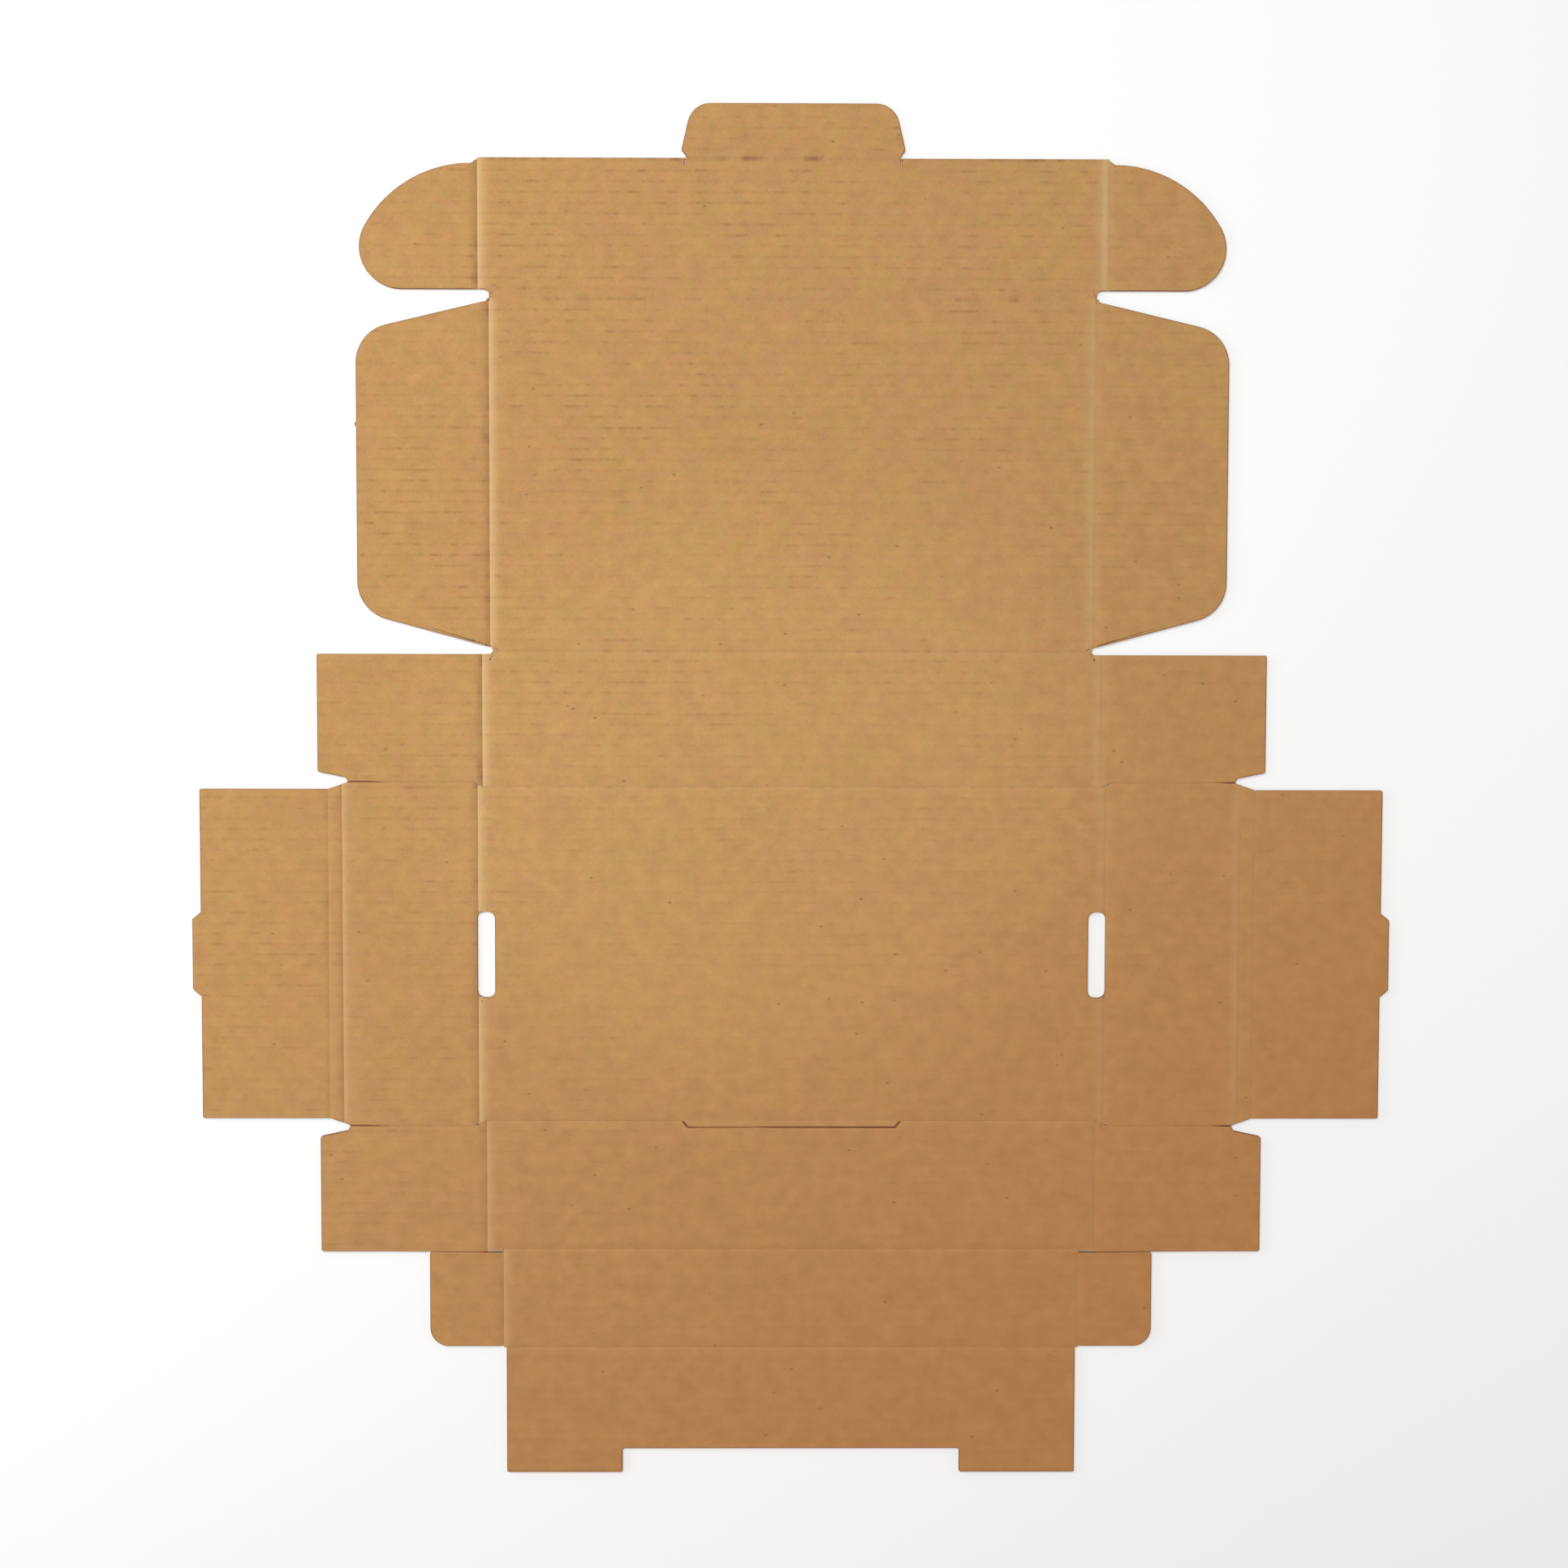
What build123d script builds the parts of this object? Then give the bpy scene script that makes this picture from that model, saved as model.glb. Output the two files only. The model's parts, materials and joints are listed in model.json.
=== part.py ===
from build123d import *
import os

# Corrugated mailer box, flat as it comes off the die: one sheet of brown board with
# its walls, flaps and lid still unfolded. The face that ends up inside looks up (+Z).
# +Y runs from the two feet towards the lid's lock tab, and X = 0 is the line of symmetry.
# The sheet is divided only along its creases, and each panel's hinge line is the bottom
# of the pressed groove, half way through the board.

# Board and press
board_t = 1.5            # thickness of the single-wall board
crease_depth = board_t / 2
crease_half = 3.0        # half width of a pressed crease
roll_crease_half = 2.0   # the two close creases of the roll-over edge are narrower
fold_gap = 0.1           # room left between folded layers
knife_gap = 0.3          # width of a knife cut once its edges have sprung apart
small_round = 0.6        # rounding of the small corners

# Lengths along Y, crease to crease
base_depth = 108.75
back_height = 43.5
lid_depth = 112.75
lid_front_height = 44.25
lock_tab_length = 17.25
front_height = 42.25
shelf_depth = 32.5
leg_height = front_height - board_t / 2 - fold_gap

# Lengths across X, crease to crease
base_width = 203.0
side_height = 43.8
roll_width = 3 * board_t
inner_height = 41.3
inner_tab_depth = 2.75
front_flap_room = 1.0    # room between the front corner flaps, folded in, and the side walls
front_width = base_width - 2 * (board_t + front_flap_room)
back_width = base_width - 2 * (board_t + fold_gap)
lid_width = 194.5
lid_front_width = 201.5
shelf_room = 1.75        # room between the shelf's wings and the inner walls
shelf_width = base_width - 2 * (roll_width + board_t + shelf_room)
leg_width = shelf_width - board_t - 2 * fold_gap
lid_flap_reach = 42.5
back_flap_reach = 53.1
front_flap_reach = 54.0
wing_reach = 24.0

# Crease stations, counted so that the sheet's middle is at Y = 0
sheet_length = (leg_height + shelf_depth + front_height + base_depth
                + back_height + lid_depth + lid_front_height + lock_tab_length)
y_foot = -sheet_length / 2
y_leg = y_foot + leg_height
y_shelf = y_leg + shelf_depth
y_front = y_shelf + front_height
y_back = y_front + base_depth
y_lid = y_back + back_height
y_lid_front = y_lid + lid_depth
y_lock = y_lid_front + lid_front_height
y_tip = y_lock + lock_tab_length
x_side = base_width / 2
x_roll = x_side + side_height
x_inner = x_roll + roll_width
x_edge = x_inner + inner_height
x_back = back_width / 2
x_front = front_width / 2
x_lid = lid_width / 2
x_ear = lid_front_width / 2
x_shelf = shelf_width / 2
x_leg = leg_width / 2

# Slits between the side walls and the corner flaps
slit_offset = 1.6        # how far beyond the base's creases the slits run
slit_bend = 1.5          # where a slit turns in towards the base's corner, beyond the side crease
slit_mouth = 41.8        # where a slit opens into its notch, beyond the side crease
half_knife = knife_gap / 2
side_root_gap = 0.3      # the side walls' creases end this much short of the base's corners
notch_tip_reach = 0.8    # the slits open into notches with blunt inner ends
y_slit_back = y_back + slit_offset
y_slit_front = y_front - slit_offset
x_bend = x_side + slit_bend
x_mouth = x_side + slit_mouth
x_notch_tip = x_mouth + notch_tip_reach

# Corner flaps
back_flap_top = 0.8      # how far the back flaps stop short of the lid crease
back_notch_tip = 1.2     # height of the blunt end on the back flap
front_notch_tip = 1.5
back_flap_slope = 0.2    # rise of the notch side towards the flap's free end
front_flap_slope = 0.218
front_flap_over = side_height - front_height - board_t / 2 - fold_gap

# Inner walls, and the tabs that lock in the base's slots
inner_setback = board_t / 2 + fold_gap
tab_root = 27.4
tab_tip = 22.8
tab_offset = 0.1         # the tabs stand this far in front of the base's middle
slot_length = 28.0
slot_round = 2.4
slot_over = 0.25         # the slots reach this far past the side creases
slot_room = 0.15         # room between a slot's inner edge and the tab that locks in it
y_tab = (y_front + y_back) / 2 - tab_offset
x_tab_inner = x_side - roll_width - board_t / 2
x_slot_inner = x_tab_inner - slot_room
x_slot_outer = x_side + slot_over

# Slit behind the front crease that takes the lock tab, and the tongue it leaves on the base
tongue_reach = 2.0
tongue_root = 70.6
tongue_tip = 67.0

# Lock tab
lock_root = 68.7
lock_belly = 71.4
lock_belly_rise = 2.6
lock_neck = 0.9          # straight length beside the slits, so the belly clears the flap
lock_top = 64.6
lock_round = 7.5
lock_slit_depth = 2.2

# Ears of the lid's front flap
ear_step = 1.8           # the ears' arcs peak this far below the front flap's edge
ear_ramp_drop = 0.3      # a short ramp leads down to the arc from the flap's corner
ear_radius = 39.15
ear_corner = 13.3
ear_centre_x = 1.9       # centre of the big arc, beyond the ear crease
ear_bottom = 2.75        # lower edge of the ears, above the lid's front crease

# Notches between the lid's flaps: a wedge with a round end
ear_notch_round = 1.95
ear_notch_slope = 0.2385
ear_notch_step = 1.8     # the round ends' centres, beyond the lid's side creases
ear_notch_x = x_lid + ear_notch_step
back_notch_round = 1.15
back_notch_slope = 0.27
back_notch_step = 0.35
back_notch_x = x_lid + back_notch_step
notch_far = 165.0        # the wedges are drawn out past every flap
lid_flap_round = 12.5

# Shelf wings and feet
front_ledge = front_flap_over - fold_gap
wing_gap = front_ledge + 1.5 * knife_gap
wing_foot = 0.5          # the wings stop this far above the leg crease
wing_round = 6.0
corner_round = 0.8
foot_height = 7.9
foot_notch_width = 110.3

# Notch wedges on the right-hand side, which each panel beside them has cut away
y_ear_notch = y_lid_front + ear_bottom - ear_notch_round
y_back_notch = y_lid - back_flap_top + back_notch_round
with BuildSketch() as ear_notch:
    with Locations((ear_notch_x, y_ear_notch)):
        Circle(ear_notch_round)
    with BuildLine():
        notch_low = y_ear_notch - ear_notch_round - ear_notch_slope * (notch_far - ear_notch_x)
        Line((notch_far, y_ear_notch + ear_notch_round), (notch_far, notch_low))
    make_hull()
with BuildSketch() as back_notch:
    with Locations((back_notch_x, y_back_notch)):
        Circle(back_notch_round)
    with BuildLine():
        notch_high = y_back_notch + back_notch_round + back_notch_slope * (notch_far - back_notch_x)
        Line((notch_far, y_back_notch - back_notch_round), (notch_far, notch_high))
    make_hull()


def cut_notch(notch, sides=(1, -1)):
    # takes a notch wedge out of the sketch being drawn, on one side or both
    if 1 in sides:
        add(notch.sketch, mode=Mode.SUBTRACT)
    if -1 in sides:
        add(mirror(notch.sketch, about=Plane.YZ, mode=Mode.PRIVATE), mode=Mode.SUBTRACT)


def valley(start, end, half_width=crease_half):
    # the shape that a creasing rule presses along the hinge line from start to end: two
    # shoulders, each an arc that leaves the top face smoothly and ends at the hinge line
    walk = Vector(*end) - Vector(*start)
    middle = (Vector(*start) + Vector(*end)) * 0.5
    across = Vector(walk.Y, -walk.X, 0).normalized()
    section = Plane(origin=(middle.X, middle.Y, board_t), x_dir=across, z_dir=-walk.normalized())
    radius = (half_width**2 + crease_depth**2) / (2 * crease_depth)
    with BuildPart() as rule:
        with BuildSketch(section):
            with BuildLine():
                RadiusArc((-half_width, 0), (0, -crease_depth), radius)
                RadiusArc((0, -crease_depth), (half_width, 0), radius)
                Polyline((half_width, 0), (half_width, board_t), (-half_width, board_t), (-half_width, 0))
            make_face()
        extrude(amount=walk.length / 2, both=True)
    return rule.part


def press(*valleys):
    # presses creases into the piece being made
    for rule in valleys:
        add(rule, mode=Mode.SUBTRACT)


def both_sides(*points):
    # an outline that is the same on both sides, from its right-hand half, bottom up
    mirrored = [(-x, y) for x, y in reversed(points)]
    return [*points, *mirrored]


def corners_at(x, y):
    # the corners of the sketch being drawn that lie at x or at -x, at height y
    near = 0.01
    return [v for v in vertices() if abs(abs(v.X) - x) < near and abs(v.Y - y) < near]


# Creases across the sheet, pressed over its whole width, and creases along it
rule_reach = x_edge
crease_leg = valley((-rule_reach, y_leg), (rule_reach, y_leg))
crease_shelf = valley((-rule_reach, y_shelf), (rule_reach, y_shelf))
crease_front = valley((-rule_reach, y_front), (rule_reach, y_front))
crease_back = valley((-rule_reach, y_back), (rule_reach, y_back))
crease_lid = valley((-rule_reach, y_lid), (rule_reach, y_lid))
crease_lid_front = valley((-rule_reach, y_lid_front), (rule_reach, y_lid_front))
crease_lock = valley((-lock_root / 2, y_lock), (lock_root / 2, y_lock), lock_slit_depth)
crease_wing = valley((x_shelf, y_foot), (x_shelf, y_front))
crease_front_flap = valley((x_front, y_foot), (x_front, y_back))
crease_side = valley((x_side, y_shelf), (x_side, y_lid))
crease_roll = valley((x_roll, y_shelf), (x_roll, y_lid), roll_crease_half)
crease_inner = valley((x_inner, y_shelf), (x_inner, y_lid), roll_crease_half)
crease_back_flap = valley((x_back, y_front), (x_back, y_lid_front))
crease_lid_flap = valley((x_lid, y_back), (x_lid, y_lock))
crease_ear = valley((x_ear, y_lid), (x_ear, y_tip))


def other_side(rule):
    # the same crease on the left-hand side
    return mirror(rule, about=Plane.YZ, mode=Mode.PRIVATE)


# Base: the floor of the box, with the two tab slots and the tongue at the lock slit.
# Its corners reach past the creases as far as the bent ends of the slits.
diagonal_back = slit_offset / (x_bend - x_back)
diagonal_front = slit_offset / (x_bend - x_front)
base_corner_back = y_back + diagonal_back * (x_side - x_back) - half_knife
base_corner_front = y_front - diagonal_front * (x_side - x_front) + half_knife
with BuildPart() as base_panel:
    with BuildSketch():
        outline = both_sides(
            (tongue_tip / 2, y_front - tongue_reach),
            (tongue_root / 2, y_front),
            (x_front + half_knife / diagonal_front, y_front),
            (x_side, base_corner_front),
            (x_side, base_corner_back),
            (x_back + half_knife / diagonal_back, y_back),
        )
        Polygon(*outline, align=None)
        slot_middle = (x_slot_inner + x_slot_outer) / 2
        with Locations((slot_middle, y_tab), (-slot_middle, y_tab)):
            RectangleRounded(x_slot_outer - x_slot_inner, slot_length, slot_round, mode=Mode.SUBTRACT)
    extrude(amount=board_t)
    press(crease_front, crease_back, crease_side, other_side(crease_side))

# Back wall, with the lid's crease along its upper edge
with BuildPart() as back_wall:
    with BuildSketch():
        Polygon(*both_sides((x_back, y_back), (x_back, y_lid)), align=None)
        cut_notch(back_notch)
    extrude(amount=board_t)
    press(crease_back, crease_lid, crease_back_flap, other_side(crease_back_flap))

# Lid panel
with BuildPart() as lid_panel:
    with BuildSketch():
        Polygon(*both_sides((x_lid, y_lid), (x_lid, y_lid_front)), align=None)
        cut_notch(back_notch)
        cut_notch(ear_notch)
    extrude(amount=board_t)
    press(crease_lid, crease_lid_front, crease_lid_flap, other_side(crease_lid_flap))

# Side flap of the lid: its ends slope back to the notches and its free corners are round
with BuildPart() as right_lid_flap:
    with BuildSketch():
        Polygon(
            (x_lid, y_lid),
            (x_lid + lid_flap_reach, y_lid),
            (x_lid + lid_flap_reach, y_lid_front),
            (x_lid, y_lid_front),
            align=None,
        )
        cut_notch(back_notch, sides=(1,))
        cut_notch(ear_notch, sides=(1,))
        free_corners = [v for v in vertices() if v.X > x_lid + lid_flap_reach - small_round]
        fillet(free_corners, lid_flap_round)
    extrude(amount=board_t)
    press(crease_lid_flap)
with BuildPart() as left_lid_flap:
    mirror(right_lid_flap.part, about=Plane.YZ)

# Front flap of the lid, slit at both ends of the lock tab's crease
with BuildPart() as lid_front_flap:
    with BuildSketch():
        Polygon(*both_sides((x_ear, y_lid_front), (x_ear, y_lock)), align=None)
        cut_notch(ear_notch)
        slit_x = lock_root / 2 + half_knife
        with Locations((slit_x, y_lock), (-slit_x, y_lock)):
            Rectangle(knife_gap, 2 * lock_slit_depth, mode=Mode.SUBTRACT)
    extrude(amount=board_t)
    press(crease_lid_front, crease_ear, other_side(crease_ear), crease_lock)

# Lock tab: a neck between the slits, a belly that holds in the slot, and round shoulders
with BuildPart() as lock_tab:
    with BuildSketch():
        outline = both_sides(
            (lock_root / 2, y_lock),
            (lock_root / 2, y_lock + lock_neck),
            (lock_belly / 2, y_lock + lock_belly_rise),
            (lock_top / 2, y_tip),
        )
        Polygon(*outline, align=None)
        fillet(corners_at(lock_top / 2, y_tip), lock_round)
        fillet(corners_at(lock_belly / 2, y_lock + lock_belly_rise), corner_round)
    extrude(amount=board_t)
    press(crease_lock)

# Ear of the lid's front flap: one big arc and a round lower corner
with BuildPart() as right_ear:
    with BuildSketch():
        ear_low = y_lid_front + ear_bottom
        with Locations((x_ear + ear_centre_x, y_lock - ear_step - ear_radius)):
            Circle(ear_radius)
        with Locations((x_ear, ear_low)):
            Rectangle(2 * ear_radius, 2 * ear_radius, align=Align.MIN, mode=Mode.INTERSECT)
        fillet(vertices().group_by(Axis.Y)[0].sort_by(Axis.X)[-1], ear_corner)
        ear_peak = (x_ear + ear_centre_x, y_lock - ear_step)
        Polygon((x_ear, y_lock - ear_radius), ear_peak, (x_ear, y_lock - ear_ramp_drop), align=None)
    extrude(amount=board_t)
    press(crease_ear)
with BuildPart() as left_ear:
    mirror(right_ear.part, about=Plane.YZ)

# Corner flap on the back wall, which folds in beside the side wall
with BuildPart() as right_back_flap:
    with BuildSketch():
        back_flap_end = x_back + back_flap_reach
        back_flap_low = y_slit_back + half_knife
        back_tip_top = back_flap_low + back_notch_tip
        back_flap_rise = back_flap_slope * (back_flap_end - x_notch_tip)
        Polygon(
            (x_back, y_back + half_knife),
            (x_bend, back_flap_low),
            (x_mouth, back_flap_low),
            (x_notch_tip, back_tip_top),
            (back_flap_end, back_tip_top + back_flap_rise),
            (back_flap_end, y_lid - back_flap_top),
            (x_back, y_lid - back_flap_top),
            align=None,
        )
        fillet(corners_at(back_flap_end, back_tip_top + back_flap_rise), corner_round)
        fillet(corners_at(x_notch_tip, back_tip_top), small_round)
        fillet(corners_at(back_flap_end, y_lid - back_flap_top), small_round)
    extrude(amount=board_t)
    press(crease_back_flap)
with BuildPart() as left_back_flap:
    mirror(right_back_flap.part, about=Plane.YZ)

# Side wall: the outer layer of the side, with the slot's outer edge at its crease
roll_slope = (slit_offset - half_knife + inner_setback) / (x_inner - x_mouth)
roll_drop = roll_slope * (x_roll - x_mouth)
side_back = y_slit_back - half_knife
side_front = y_slit_front + half_knife
with BuildPart() as right_side_wall:
    with BuildSketch():
        Polygon(
            (x_side, base_corner_front + side_root_gap),
            (x_bend, side_front),
            (x_mouth, side_front),
            (x_roll, side_front + roll_drop),
            (x_roll, side_back - roll_drop),
            (x_mouth, side_back),
            (x_bend, side_back),
            (x_side, base_corner_back - side_root_gap),
            align=None,
        )
        with Locations((slot_middle, y_tab)):
            RectangleRounded(x_slot_outer - x_slot_inner, slot_length, slot_round, mode=Mode.SUBTRACT)
    extrude(amount=board_t)
    press(crease_side, crease_roll)
with BuildPart() as left_side_wall:
    mirror(right_side_wall.part, about=Plane.YZ)

# Strip between the two creases of the side's top edge, three boards wide
with BuildPart() as right_roll_strip:
    with BuildSketch():
        Polygon(
            (x_roll, side_front + roll_drop),
            (x_inner, y_front + inner_setback),
            (x_inner, y_back - inner_setback),
            (x_roll, side_back - roll_drop),
            align=None,
        )
    extrude(amount=board_t)
    press(crease_roll, crease_inner)
with BuildPart() as left_roll_strip:
    mirror(right_roll_strip.part, about=Plane.YZ)

# Inner side wall, with the tab that locks in the base's slot
with BuildPart() as right_inner_wall:
    with BuildSketch():
        Polygon(
            (x_inner, y_front + inner_setback),
            (x_edge, y_front + inner_setback),
            (x_edge, y_tab - tab_root / 2),
            (x_edge + inner_tab_depth, y_tab - tab_tip / 2),
            (x_edge + inner_tab_depth, y_tab + tab_tip / 2),
            (x_edge, y_tab + tab_root / 2),
            (x_edge, y_back - inner_setback),
            (x_inner, y_back - inner_setback),
            align=None,
        )
        fillet(corners_at(x_edge, y_front + inner_setback), small_round)
        fillet(corners_at(x_edge, y_back - inner_setback), small_round)
    extrude(amount=board_t)
    press(crease_inner)
with BuildPart() as left_inner_wall:
    mirror(right_inner_wall.part, about=Plane.YZ)

# Front wall: its upper edge in the flat sheet is cut back round the base's tongue, and
# its lower edge has a small ledge beyond the shelf crease at both ends
with BuildPart() as front_wall:
    with BuildSketch():
        outline = both_sides(
            (x_shelf + half_knife, y_shelf),
            (x_shelf + half_knife, y_shelf - front_ledge),
            (x_front, y_shelf - front_ledge),
            (x_front, y_front),
            (tongue_root / 2 + knife_gap, y_front),
            (tongue_tip / 2 + knife_gap, y_front - tongue_reach - knife_gap),
        )
        Polygon(*outline, align=None)
    extrude(amount=board_t)
    press(crease_front, crease_shelf, crease_front_flap, other_side(crease_front_flap))

# Corner flap on the front wall
with BuildPart() as right_front_flap:
    with BuildSketch():
        front_flap_end = x_front + front_flap_reach
        front_flap_high = y_slit_front - half_knife
        front_tip_low = front_flap_high - front_notch_tip
        front_flap_drop = front_flap_slope * (front_flap_end - x_notch_tip)
        Polygon(
            (x_front, y_shelf - front_flap_over),
            (front_flap_end, y_shelf - front_flap_over),
            (front_flap_end, front_tip_low - front_flap_drop),
            (x_notch_tip, front_tip_low),
            (x_mouth, front_flap_high),
            (x_bend, front_flap_high),
            (x_front, y_front - half_knife),
            align=None,
        )
        fillet(corners_at(front_flap_end, front_tip_low - front_flap_drop), corner_round)
        fillet(corners_at(x_notch_tip, front_tip_low), small_round)
        fillet(corners_at(front_flap_end, y_shelf - front_flap_over), corner_round)
    extrude(amount=board_t)
    press(crease_front_flap)
with BuildPart() as left_front_flap:
    mirror(right_front_flap.part, about=Plane.YZ)

# Shelf that turns in at the top of the front wall
with BuildPart() as front_shelf:
    with BuildSketch():
        Polygon(*both_sides((x_shelf, y_leg), (x_shelf, y_shelf)), align=None)
    extrude(amount=board_t)
    press(crease_shelf, crease_leg, crease_wing, other_side(crease_wing))

# Wing that turns down at the end of the shelf
with BuildPart() as right_shelf_wing:
    with BuildSketch():
        wing_end = x_shelf + wing_reach
        Polygon(
            (x_shelf, y_leg + wing_foot),
            (wing_end, y_leg + wing_foot),
            (wing_end, y_shelf - wing_gap),
            (x_shelf, y_shelf - wing_gap),
            align=None,
        )
        fillet(corners_at(wing_end, y_leg + wing_foot), wing_round)
        fillet(corners_at(wing_end, y_shelf - wing_gap), small_round)
    extrude(amount=board_t)
    press(crease_wing)
with BuildPart() as left_shelf_wing:
    mirror(right_shelf_wing.part, about=Plane.YZ)

# Leg of the shelf, with its two feet
with BuildPart() as shelf_leg:
    with BuildSketch():
        outline = both_sides(
            (foot_notch_width / 2, y_foot + foot_height),
            (foot_notch_width / 2, y_foot),
            (x_leg, y_foot),
            (x_leg, y_leg),
        )
        Polygon(*outline, align=None)
        fillet(corners_at(x_leg, y_foot), small_round)
        fillet(corners_at(foot_notch_width / 2, y_foot), small_round)
        fillet(corners_at(foot_notch_width / 2, y_foot + foot_height), corner_round)
    extrude(amount=board_t)
    press(crease_leg)

pieces = {
    "base_panel": base_panel,
    "back_wall": back_wall,
    "lid_panel": lid_panel,
    "lid_front_flap": lid_front_flap,
    "lock_tab": lock_tab,
    "left_ear": left_ear,
    "right_ear": right_ear,
    "left_lid_flap": left_lid_flap,
    "right_lid_flap": right_lid_flap,
    "left_back_flap": left_back_flap,
    "right_back_flap": right_back_flap,
    "left_side_wall": left_side_wall,
    "right_side_wall": right_side_wall,
    "left_roll_strip": left_roll_strip,
    "right_roll_strip": right_roll_strip,
    "left_inner_wall": left_inner_wall,
    "right_inner_wall": right_inner_wall,
    "front_wall": front_wall,
    "left_front_flap": left_front_flap,
    "right_front_flap": right_front_flap,
    "front_shelf": front_shelf,
    "left_shelf_wing": left_shelf_wing,
    "right_shelf_wing": right_shelf_wing,
    "shelf_leg": shelf_leg,
}
os.makedirs("parts", exist_ok=True)
for name, piece in pieces.items():
    piece.part.label = name
    export_step(piece.part, f"parts/{name}.step")
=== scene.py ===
import bpy
import bmesh
import json
import math
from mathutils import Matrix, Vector
from mathutils.bvhtree import BVHTree
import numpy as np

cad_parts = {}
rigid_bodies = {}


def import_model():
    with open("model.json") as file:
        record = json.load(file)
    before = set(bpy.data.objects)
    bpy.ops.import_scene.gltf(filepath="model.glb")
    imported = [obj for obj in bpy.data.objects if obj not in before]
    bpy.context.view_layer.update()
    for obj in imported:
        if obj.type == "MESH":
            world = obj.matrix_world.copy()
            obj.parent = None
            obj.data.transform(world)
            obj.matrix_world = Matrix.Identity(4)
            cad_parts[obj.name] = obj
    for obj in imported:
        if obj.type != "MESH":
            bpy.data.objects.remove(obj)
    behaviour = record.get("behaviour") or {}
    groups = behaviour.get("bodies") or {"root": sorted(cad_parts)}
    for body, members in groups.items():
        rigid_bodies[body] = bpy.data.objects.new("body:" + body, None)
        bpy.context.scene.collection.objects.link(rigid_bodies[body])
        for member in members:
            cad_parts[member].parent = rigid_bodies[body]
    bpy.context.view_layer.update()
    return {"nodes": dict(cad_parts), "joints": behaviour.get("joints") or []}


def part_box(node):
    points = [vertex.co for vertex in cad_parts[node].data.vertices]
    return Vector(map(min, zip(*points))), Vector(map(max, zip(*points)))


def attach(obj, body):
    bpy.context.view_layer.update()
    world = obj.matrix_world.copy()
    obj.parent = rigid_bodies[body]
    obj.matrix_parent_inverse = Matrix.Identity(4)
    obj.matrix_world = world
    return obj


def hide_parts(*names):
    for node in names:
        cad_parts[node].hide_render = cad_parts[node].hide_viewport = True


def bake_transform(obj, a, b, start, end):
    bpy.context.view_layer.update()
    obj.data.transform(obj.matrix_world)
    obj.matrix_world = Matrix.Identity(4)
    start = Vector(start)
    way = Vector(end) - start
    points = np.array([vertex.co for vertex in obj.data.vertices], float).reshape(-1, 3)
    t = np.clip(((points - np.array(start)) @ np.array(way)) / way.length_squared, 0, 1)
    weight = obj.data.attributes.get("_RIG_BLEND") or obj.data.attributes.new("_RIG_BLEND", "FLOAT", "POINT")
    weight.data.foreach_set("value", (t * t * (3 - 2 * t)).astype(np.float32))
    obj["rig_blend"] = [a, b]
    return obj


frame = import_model()


# The board. The whole blank is one sheet of brown single-wall board: an inside liner, a
# fluted medium whose waves run across the sheet, and an outside liner, glued at every wave.
# Mill and corrugator give it its looks: cloudy kraft pulp, fibres and glue lines at the flutes.
flute_pitch = 0.00339


def paper_node(tree, kind, inputs=(), **settings):
    # one node with its settings; each input is a value or another node's output
    node = tree.nodes.new(kind)
    for key, value in settings.items():
        setattr(node, key, value)
    for key, value in dict(inputs).items():
        if isinstance(value, bpy.types.NodeSocket):
            tree.links.new(value, node.inputs[key])
        else:
            node.inputs[key].default_value = value
    return node


def reckon(tree, operation, *values):
    inputs = enumerate(values)
    return paper_node(tree, "ShaderNodeMath", inputs, operation=operation).outputs[0]


def from_middle(tree, value):
    # how far a noise is above or below its middle
    return reckon(tree, "SUBTRACT", value, 0.5)


def inverse(tree, value):
    return reckon(tree, "SUBTRACT", 1.0, value)


def reckon_vector(tree, operation, *values):
    inputs = enumerate(values)
    return paper_node(tree, "ShaderNodeVectorMath", inputs, operation=operation).outputs[0]


def scale_vector(tree, vector, factor):
    inputs = {0: vector, 3: factor}
    return paper_node(tree, "ShaderNodeVectorMath", inputs, operation="SCALE").outputs[0]


def blend_colours(tree, share, first, second, kind="MIX"):
    inputs = {0: share, 6: first, 7: second}
    settings = {"data_type": "RGBA", "blend_type": kind}
    return paper_node(tree, "ShaderNodeMix", inputs, **settings).outputs[2]


def ease(tree, value, start, end):
    # 0 below start and 1 above end, smooth in between
    inputs = {"Value": value, "From Min": start, "From Max": end}
    settings = {"interpolation_type": "SMOOTHSTEP"}
    return paper_node(tree, "ShaderNodeMapRange", inputs, **settings).outputs[0]


def stretched(tree, place, stretch):
    inputs = {"Vector": place, "Scale": stretch}
    return paper_node(tree, "ShaderNodeMapping", inputs, vector_type="POINT").outputs[0]


def noise(tree, place, scale, detail=2.0, rough=0.5, output="Fac"):
    inputs = {"Vector": place, "Scale": scale, "Detail": detail, "Roughness": rough}
    return paper_node(tree, "ShaderNodeTexNoise", inputs).outputs[output]


def new_group(name, inputs, outputs):
    group = bpy.data.node_groups.new(name, "ShaderNodeTree")
    for socket, kind in inputs:
        group.interface.new_socket(socket, in_out="INPUT", socket_type=kind)
    for socket, kind in outputs:
        group.interface.new_socket(socket, in_out="OUTPUT", socket_type=kind)
    return group, group.nodes.new("NodeGroupInput"), group.nodes.new("NodeGroupOutput")


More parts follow.
